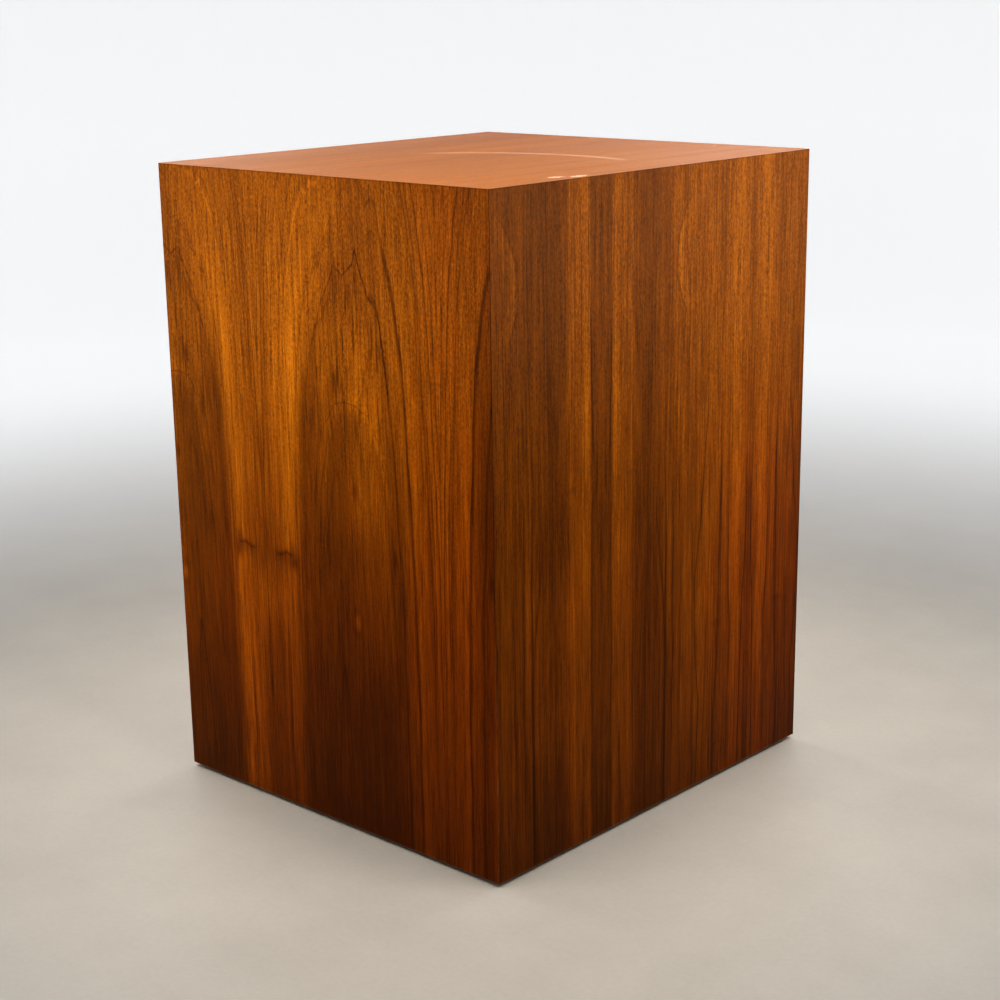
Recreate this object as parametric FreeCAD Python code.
"""Display plinth: a five-sided mitred box of walnut-veneered plywood on four screw levellers.

Frame: millimetres, +Z up, origin on the floor at the centre of the footprint. The front panel
faces -Y, the right-hand panel +X. The wooden box hangs a few millimetres clear of the floor.

Each panel is a plywood core with book-matched walnut leaves outside and a plain backing veneer
inside. All panel-to-panel edges are 45 degree mitres, held by loose splines. Glue blocks run up
the inside corners, cleats run round under the top, and a softwood frame inside the open bottom
carries four hardwood blocks. A tee nut in each block takes the threaded stud of a leveller.
"""

import FreeCAD
import Part

import math
import os

V = FreeCAD.Vector

# ---- driving dimensions -------------------------------------------------------------------
WIDTH = 485.0            # X, across the front
DEPTH = 525.0            # Y
HEIGHT = 700.0           # floor to top
FLOOR_GAP = 5.0          # box clear of the floor

VENEER = 0.6             # walnut face leaves
CORE = 17.8              # plywood
BACKING = 0.6            # counter veneer
BOARD = VENEER + CORE + BACKING
ARRIS = 0.3              # sanded flat along each outer edge
FRONT_LEAF = 266.0       # width of the whole walnut leaf on the front, back and top
FRONT_JOINT = 148.5      # left edge of the front to its first leaf joint
SIDE_LEAF = 260.0        # the same on the two sides
SIDE_JOINT = 162.0       # front edge of a side to its first leaf joint

SPLINE_THICK = 4.0
SPLINE_WIDE = 12.0
SPLINE_SLACK = 0.25      # glue room at the bottom of each groove
SPLINE_DEPTH = 12.5      # from either outer face to the middle of the spline
SPLINE_STOP = 60.0       # top splines stop this far short of the corners

CLEAT = 20.0             # square section under the top
CORNER_BLOCK_LEG = 28.0  # triangular glue blocks
RAIL_THICK = 20.0
RAIL_TALL = 44.0
FRAME_Z = 18.5           # underside of the base frame
FOOT_BLOCK = 54.0        # square, in plan

# 5/16-18 UNC leveller
THREAD_R = 25.4 * 5 / 16 / 2
THREAD_PITCH = 25.4 / 18
RUNNING_CLEARANCE = 0.05
PAD_R = 15.0
PAD_TALL = 6.8
PAD_BEVEL = 1.5
PAD_RIM_TALL = 2.8
PAD_CROWN_R = 7.5
COLLAR_R = 5.0           # disc at the foot of the stud, held in the pad
COLLAR_Z = 2.4
COLLAR_TALL = 1.6
NECK_R = 3.0
HEX_FLATS = 12.7
HEX_Z = 8.0
HEX_TALL = 4.5
STUD_LENGTH = 32.0       # above the hexagon
STUD_CHAMFER = 1.0

TEE_FLANGE_R = 10.0
TEE_FLANGE_THICK = 1.5
TEE_BARREL_R = 5.1
TEE_BARREL_LONG = 11.0
PRONG_WIDE = 2.6
PRONG_THICK = 1.2
PRONG_LONG = 7.0
PRONG_INSET = 0.4
STUD_HOLE_R = 4.5        # clearance in the block above the tee nut

SCREW_R = 2.0
SCREW_HEAD_R = 4.0
SCREW_HEAD_TALL = 2.6
SCREW_TIP = 5.0
SHORT_SCREW = 32.0
LONG_SCREW = 50.0
COUNTERBORE_R = 4.6
COUNTERBORE_DEEP = 18.0
RECESS_LONG = 4.4        # cross recess
RECESS_WIDE = 0.9
RECESS_DEEP = 2.0

# ---- places worked out from them ----------------------------------------------------------
HALF_X = WIDTH / 2
HALF_Y = DEPTH / 2
INNER_X = HALF_X - BOARD
INNER_Y = HALF_Y - BOARD
TOP_UNDERSIDE = HEIGHT - BOARD
CLEAT_Z = TOP_UNDERSIDE - CLEAT
FRAME_TOP = FRAME_Z + RAIL_TALL
FOOT_X = INNER_X - RAIL_THICK - FOOT_BLOCK / 2
FOOT_Y = INNER_Y - RAIL_THICK - FOOT_BLOCK / 2
RAIL_SCREW_Z = FRAME_Z + RAIL_TALL / 2
RAIL_SCREW_STEP = 150.0
CLEAT_SCREW_STEP = 160.0
CLEAT_SCREW_SHIFT = 25.0  # sideways screws sit beside the upright ones
BLOCK_SCREW_OFFSET = 16.0
BLOCK_SCREW_LOW = FRAME_Z + RAIL_TALL * 0.3
BLOCK_SCREW_HIGH = FRAME_Z + RAIL_TALL * 0.7

# outward direction, along-the-face direction, distance from the axis, half width
SIDES = {
    "front": (V(0, -1, 0), V(1, 0, 0), HALF_Y, HALF_X),
    "back": (V(0, 1, 0), V(-1, 0, 0), HALF_Y, HALF_X),
    "left": (V(-1, 0, 0), V(0, -1, 0), HALF_X, HALF_Y),
    "right": (V(1, 0, 0), V(0, 1, 0), HALF_X, HALF_Y),
}
CORNERS = {
    "front_left": (-1, -1),
    "front_right": (1, -1),
    "back_right": (1, 1),
    "back_left": (-1, 1),
}


def solid_between(sections):
    """Closed solid through four-cornered sections, each with its corners in the same order."""
    faces = []
    for end in (sections[0], sections[-1]):
        faces.append(Part.Face(Part.makePolygon([*end, end[0]])))
    for lower, upper in zip(sections, sections[1:]):
        for i in range(4):
            j = (i + 1) % 4
            ring = [lower[i], lower[j], upper[j], upper[i], lower[i]]
            faces.append(Part.Face(Part.makePolygon(ring)))
    solid = Part.Solid(Part.Shell(faces))
    if solid.Volume < 0:
        solid.reverse()
    return solid


def side_section(side, depth, inset):
    """Outline of an upright panel at a depth behind its outer face, mitred on three edges."""
    outward, along, distance, half = SIDES[side]
    middle = outward * (distance - depth)
    reach = along * (half - inset)
    low, high = V(0, 0, FLOOR_GAP), V(0, 0, HEIGHT - inset)
    return [middle - reach + low, middle + reach + low, middle + reach + high, middle - reach + high]


def top_section(depth, inset):
    """Outline of the top panel at a depth below its upper face, mitred on four edges."""
    x, y, z = HALF_X - inset, HALF_Y - inset, HEIGHT - depth
    return [V(-x, -y, z), V(x, -y, z), V(x, y, z), V(-x, y, z)]


def section(panel, depth, inset):
    return top_section(depth, inset) if panel == "top" else side_section(panel, depth, inset)


def layer(panel, outer, inner):
    """One flat layer of a mitred panel between two depths."""
    return solid_between([section(panel, outer, outer), section(panel, inner, inner)])


def face_veneer(panel):
    """The outer layer, with its arrises sanded off, before it is parted into leaves."""
    steps = [(0, ARRIS), (ARRIS / 2, ARRIS / 2), (VENEER, VENEER)]
    return solid_between([section(panel, depth, inset) for depth, inset in steps])


def leaf_joints(panel):
    """Distances of the leaf joints from the panel's middle, along the face."""
    if panel in ("left", "right"):
        first, leaf = SIDE_JOINT - HALF_Y, SIDE_LEAF
    else:
        first, leaf = FRONT_JOINT - HALF_X, FRONT_LEAF
    joints = [first, first + leaf]
    return [-x for x in reversed(joints)] if panel in ("left", "back") else joints


def leaves(panel):
    """The walnut leaves of one panel: the face veneer parted at the leaf joints."""
    whole = face_veneer(panel)
    along = V(1, 0, 0) if panel == "top" else SIDES[panel][1]
    turn = math.degrees(math.atan2(along.y, along.x))
    cuts = [-HEIGHT, *leaf_joints(panel), HEIGHT]
    out = []
    for low, high in zip(cuts, cuts[1:]):
        slab = Part.makeBox(high - low, 2 * HEIGHT, 2 * HEIGHT, V(low, -HEIGHT, 0))
        slab.rotate(V(0, 0, 0), V(0, 0, 1), turn)
        out.append(whole.common(slab).Solids[0])
    return Part.makeCompound(out)


def bar(length, width, thick):
    """Box centred on the origin: length along X, width along Y, thickness along Z."""
    return Part.makeBox(length, width, thick, V(-length / 2, -width / 2, -thick / 2))


def upright_spline(corner, slack):
    """Spline in the upright mitre at a corner; slack widens it into its groove."""
    sx, sy = CORNERS[corner]
    bottom, top = FLOOR_GAP, TOP_UNDERSIDE - SPLINE_STOP / 2
    piece = Part.makeBox(
        SPLINE_THICK,
        SPLINE_WIDE + 2 * slack,
        top - bottom,
        V(-SPLINE_THICK / 2, -SPLINE_WIDE / 2 - slack, bottom),
    )
    piece.rotate(V(0, 0, 0), V(0, 0, 1), 45 * sx * sy)
    piece.translate(V(sx * (HALF_X - SPLINE_DEPTH), sy * (HALF_Y - SPLINE_DEPTH), 0))
    return piece


def top_spline(side, slack):
    """Spline in the mitre between the top and one side."""
    outward, along, distance, half = SIDES[side]
    piece = bar(2 * (half - SPLINE_STOP), SPLINE_WIDE + 2 * slack, SPLINE_THICK)
    piece.rotate(V(0, 0, 0), V(1, 0, 0), 45)
    piece.rotate(V(0, 0, 0), V(0, 0, 1), math.degrees(math.atan2(along.y, along.x)))
    piece.translate(outward * (distance - SPLINE_DEPTH) + V(0, 0, HEIGHT - SPLINE_DEPTH))
    return piece


def wood_screw(length):
    """Countersunk screw along -Z with the top of its head at the origin."""
    head = Part.makeCone(SCREW_R, SCREW_HEAD_R, SCREW_HEAD_TALL, V(0, 0, -SCREW_HEAD_TALL))
    shank_long = length - SCREW_HEAD_TALL - SCREW_TIP
    shank = Part.makeCylinder(SCREW_R, shank_long, V(0, 0, -SCREW_HEAD_TALL - shank_long))
    tip = Part.makeCone(0, SCREW_R, SCREW_TIP, V(0, 0, -length))
    return head.fuse([shank, tip]).removeSplitter()


def cross_recess():
    one = Part.makeBox(
        RECESS_LONG, RECESS_WIDE, RECESS_DEEP, V(-RECESS_LONG / 2, -RECESS_WIDE / 2, -RECESS_DEEP)
    )
    other = one.copy()
    other.rotate(V(0, 0, 0), V(0, 0, 1), 90)
    return one.fuse(other)


def aimed(shape, at, towards):
    """Moves a shape built along -Z so that it starts at a point and runs the given way."""
    placed = shape.copy()
    placed.Placement = FreeCAD.Placement(at, FreeCAD.Rotation(V(0, 0, -1), towards))
    return placed


def rail(side, low, tall, thick, shorten):
    """Batten flat against the inside of a panel; shorten leaves room for its neighbours."""
    outward, along, distance, half = SIDES[side]
    length = 2 * (half - BOARD - shorten)
    piece = bar(length, thick, tall)
    piece.rotate(V(0, 0, 0), V(0, 0, 1), math.degrees(math.atan2(along.y, along.x)))
    piece.translate(outward * (distance - BOARD - thick / 2) + V(0, 0, low + tall / 2))
    return piece


def is_long_run(side):
    """Front and back battens run the full width; left and right ones fit between them."""
    return side in ("front", "back")


def base_rail(side):
    shorten = 0 if is_long_run(side) else RAIL_THICK
    return rail(side, FRAME_Z, RAIL_TALL, RAIL_THICK, shorten)


def top_cleat(side):
    shorten = 0 if is_long_run(side) else CLEAT
    return rail(side, CLEAT_Z, CLEAT, CLEAT, shorten)


def foot_block(corner):
    sx, sy = CORNERS[corner]
    block = Part.makeBox(
        FOOT_BLOCK, FOOT_BLOCK, RAIL_TALL, V(-FOOT_BLOCK / 2, -FOOT_BLOCK / 2, FRAME_Z)
    )
    block.translate(V(sx * FOOT_X, sy * FOOT_Y, 0))
    hole = Part.makeCylinder(STUD_HOLE_R, RAIL_TALL, V(sx * FOOT_X, sy * FOOT_Y, FRAME_Z))
    return block.cut(hole)


def corner_block(corner):
    """Triangular glue block from the base frame up to the cleats."""
    sx, sy = CORNERS[corner]
    inside = V(sx * INNER_X, sy * INNER_Y, FRAME_TOP)
    ring = [
        inside,
        inside - V(sx * CORNER_BLOCK_LEG, 0, 0),
        inside - V(0, sy * CORNER_BLOCK_LEG, 0),
        inside,
    ]
    return Part.Face(Part.makePolygon(ring)).extrude(V(0, 0, CLEAT_Z - FRAME_TOP))


def at_foot(shape, corner):
    sx, sy = CORNERS[corner]
    placed = shape.copy()
    placed.translate(V(sx * FOOT_X, sy * FOOT_Y, 0))
    return placed


def tee_nut():
    """Pronged tee nut pressed up into the foot block, its flange against the block's underside."""
    flange = Part.makeCylinder(TEE_FLANGE_R, TEE_FLANGE_THICK, V(0, 0, FRAME_Z - TEE_FLANGE_THICK))
    barrel = Part.makeCylinder(TEE_BARREL_R, TEE_BARREL_LONG, V(0, 0, FRAME_Z))
    prong_x = TEE_FLANGE_R - PRONG_THICK - PRONG_INSET
    ring = [
        V(prong_x, -PRONG_WIDE / 2, FRAME_Z),
        V(prong_x, PRONG_WIDE / 2, FRAME_Z),
        V(prong_x, 0, FRAME_Z + PRONG_LONG),
        V(prong_x, -PRONG_WIDE / 2, FRAME_Z),
    ]
    prong = Part.Face(Part.makePolygon(ring)).extrude(V(PRONG_THICK, 0, 0))
    prongs = []
    for quarter in range(4):
        turned = prong.copy()
        turned.rotate(V(0, 0, 0), V(0, 0, 1), 45 + 90 * quarter)
        prongs.append(turned)
    body = flange.fuse([barrel, *prongs])
    bore_long = TEE_FLANGE_THICK + TEE_BARREL_LONG
    bore = Part.makeCylinder(
        THREAD_R + RUNNING_CLEARANCE, bore_long, V(0, 0, FRAME_Z - TEE_FLANGE_THICK)
    )
    return body.cut(bore).removeSplitter()


def tee_nut_seat():
    """What the tee nut takes out of its block: barrel and prongs, with no bore."""
    bore_fill = Part.makeCylinder(TEE_BARREL_R, TEE_BARREL_LONG, V(0, 0, FRAME_Z))
    return tee_nut().fuse(bore_fill)


def leveller_stud():
    """Threaded stud with a hexagon to turn it by and a collar that turns in the pad."""
    collar = Part.makeCylinder(COLLAR_R, COLLAR_TALL, V(0, 0, COLLAR_Z))
    neck = Part.makeCylinder(NECK_R, HEX_Z - COLLAR_Z, V(0, 0, COLLAR_Z))
    corner_r = HEX_FLATS / 2 / math.cos(math.radians(30))
    corners = [math.radians(60 * i) for i in range(7)]
    ring = [V(corner_r * math.cos(a), corner_r * math.sin(a), HEX_Z) for a in corners]
    hexagon = Part.Face(Part.makePolygon(ring)).extrude(V(0, 0, HEX_TALL))
    shank_z = HEX_Z + HEX_TALL
    straight = STUD_LENGTH - STUD_CHAMFER
    shank = Part.makeCylinder(THREAD_R, straight, V(0, 0, shank_z))
    end = Part.makeCone(THREAD_R, THREAD_R - STUD_CHAMFER, STUD_CHAMFER, V(0, 0, shank_z + straight))
    return collar.fuse([neck, hexagon, shank, end]).removeSplitter()


def leveller_pad():
    """Moulded foot, flat underneath, with a sloping top and a seat that the collar turns in."""
    profile = [
        V(0, 0, 0),
        V(PAD_R - PAD_BEVEL, 0, 0),
        V(PAD_R, 0, PAD_BEVEL),
        V(PAD_R, 0, PAD_RIM_TALL),
        V(PAD_CROWN_R, 0, PAD_TALL),
        V(0, 0, PAD_TALL),
        V(0, 0, 0),
    ]
    body = Part.Face(Part.makePolygon(profile)).revolve(V(0, 0, 0), V(0, 0, 1), 360)
    seat = Part.makeCylinder(
        COLLAR_R + RUNNING_CLEARANCE,
        COLLAR_TALL + 2 * RUNNING_CLEARANCE,
        V(0, 0, COLLAR_Z - RUNNING_CLEARANCE),
    )
    mouth = Part.makeCylinder(NECK_R + RUNNING_CLEARANCE, PAD_TALL, V(0, 0, COLLAR_Z))
    return body.cut(seat.fuse(mouth))


def rail_screw_places():
    """Start point and direction of the screws that hold the base rails to the panels."""
    for side, (outward, along, distance, _half) in SIDES.items():
        start = outward * (distance - BOARD - RAIL_THICK) + V(0, 0, RAIL_SCREW_Z)
        for step in (-1, 0, 1):
            yield start + along * (step * RAIL_SCREW_STEP), outward


def cleat_screw_places():
    """Screws through the cleats: up into the top, and sideways into the panel."""
    for _side, (outward, along, distance, _half) in SIDES.items():
        middle = outward * (distance - BOARD - CLEAT / 2)
        for step in (-1, 0, 1):
            spot = along * (step * CLEAT_SCREW_STEP)
            yield middle + spot + V(0, 0, CLEAT_Z), V(0, 0, 1)
            aside = along * CLEAT_SCREW_SHIFT - outward * (CLEAT / 2)
            yield middle + spot + aside + V(0, 0, CLEAT_Z + CLEAT / 2), outward


def block_screw_places():
    """Screws from the foot blocks into the rails, their heads sunk in counterbores."""
    sunk = COUNTERBORE_DEEP - FOOT_BLOCK / 2
    for sx, sy in CORNERS.values():
        x, y = sx * (FOOT_X + sunk), sy * (FOOT_Y - BLOCK_SCREW_OFFSET)
        yield V(x, y, BLOCK_SCREW_HIGH), V(sx, 0, 0)
        x, y = sx * (FOOT_X - BLOCK_SCREW_OFFSET), sy * (FOOT_Y + sunk)
        yield V(x, y, BLOCK_SCREW_LOW), V(0, sy, 0)


def screws(places, length):
    """Solid screws for cutting their holes, and the same screws with their cross recess."""
    plain, finished = [], []
    for at, towards in places:
        body = aimed(wood_screw(length), at, towards)
        plain.append(body)
        finished.append(body.cut(aimed(cross_recess(), at, towards)))
    return plain, finished


def counterbores():
    for at, towards in block_screw_places():
        yield Part.makeCylinder(COUNTERBORE_R, COUNTERBORE_DEEP, at - towards * COUNTERBORE_DEEP, towards)


def without(shape, tools):
    """The shape less those tools that reach it."""
    near = [t for t in tools if shape.BoundBox.intersect(t.BoundBox)]
    return shape.cut(near) if near else shape


def build():
    rail_plain, rail_screws = screws(rail_screw_places(), SHORT_SCREW)
    cleat_plain, cleat_screws = screws(cleat_screw_places(), SHORT_SCREW)
    block_plain, block_screws = screws(block_screw_places(), LONG_SCREW)
    grooves = [upright_spline(c, SPLINE_SLACK) for c in CORNERS]
    grooves += [top_spline(s, SPLINE_SLACK) for s in SIDES]
    into_panels = grooves + rail_plain + cleat_plain

    nodes = {}
    for panel in ("top", *SIDES):
        nodes[f"{panel}_veneer"] = leaves(panel)
        nodes[f"{panel}_core"] = without(layer(panel, VENEER, VENEER + CORE), into_panels)
        nodes[f"{panel}_backing"] = without(layer(panel, VENEER + CORE, BOARD), rail_plain + cleat_plain)
    for side in SIDES:
        nodes[f"top_spline_{side}"] = top_spline(side, 0)
        nodes[f"top_cleat_{side}"] = without(top_cleat(side), cleat_plain)
        nodes[f"base_rail_{side}"] = without(base_rail(side), rail_plain + block_plain)
    for corner in CORNERS:
        seat = at_foot(tee_nut_seat(), corner)
        nodes[f"corner_spline_{corner}"] = upright_spline(corner, 0)
        nodes[f"corner_block_{corner}"] = corner_block(corner)
        nodes[f"foot_block_{corner}"] = without(
            foot_block(corner), [seat, *block_plain, *counterbores()]
        )
        nodes[f"tee_nut_{corner}"] = at_foot(tee_nut(), corner)
        nodes[f"leveller_stud_{corner}"] = at_foot(leveller_stud(), corner)
        nodes[f"leveller_pad_{corner}"] = at_foot(leveller_pad(), corner)
    nodes["base_rail_screws"] = Part.makeCompound(rail_screws)
    nodes["top_cleat_screws"] = Part.makeCompound(cleat_screws)
    nodes["foot_block_screws"] = Part.makeCompound(block_screws)
    return nodes


def main():
    os.makedirs("parts", exist_ok=True)
    for name, shape in build().items():
        shape.exportStep(os.path.join("parts", f"{name}.step"))
        print(f"{name}: {len(shape.Solids)} solid(s), {shape.Volume / 1000:.2f} cm3")


main()
